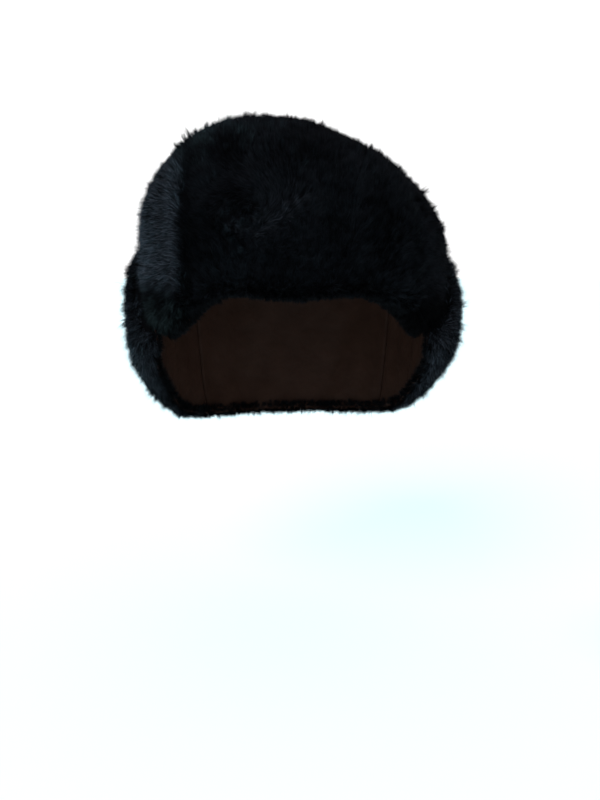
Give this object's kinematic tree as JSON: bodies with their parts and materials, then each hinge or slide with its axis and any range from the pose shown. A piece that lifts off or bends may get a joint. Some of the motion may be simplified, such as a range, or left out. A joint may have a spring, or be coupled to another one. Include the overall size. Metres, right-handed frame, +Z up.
{
  "type": "ushanka",
  "caption": "Fur hat with a turned-up front flap and lined ear and neck flaps that hang down and cup in round the head.",
  "frame": {"origin": "middle of the head opening at the height of the front brim, where the hat sits on a head", "axes": "+Z up through the crown, the wearer faces -Y, the wearer's left is +X"},
  "size_m": [0.2258, 0.2537, 0.212],
  "materials": {
    "fur": "dense short-pile black fur with soft sheen",
    "lining": "dark brown satin lining"
  },
  "bodies": {
    "root": {"crown_lining": "lining", "crown_fur": "fur", "front_flap_backing": "lining", "front_flap_fur": "fur", "ear_flap_left_lining": "lining", "ear_flap_left_fur": "fur", "neck_flap_lining": "lining", "neck_flap_fur": "fur", "ear_flap_right_lining": "lining", "ear_flap_right_fur": "fur"}
  },
  "joints": []
}
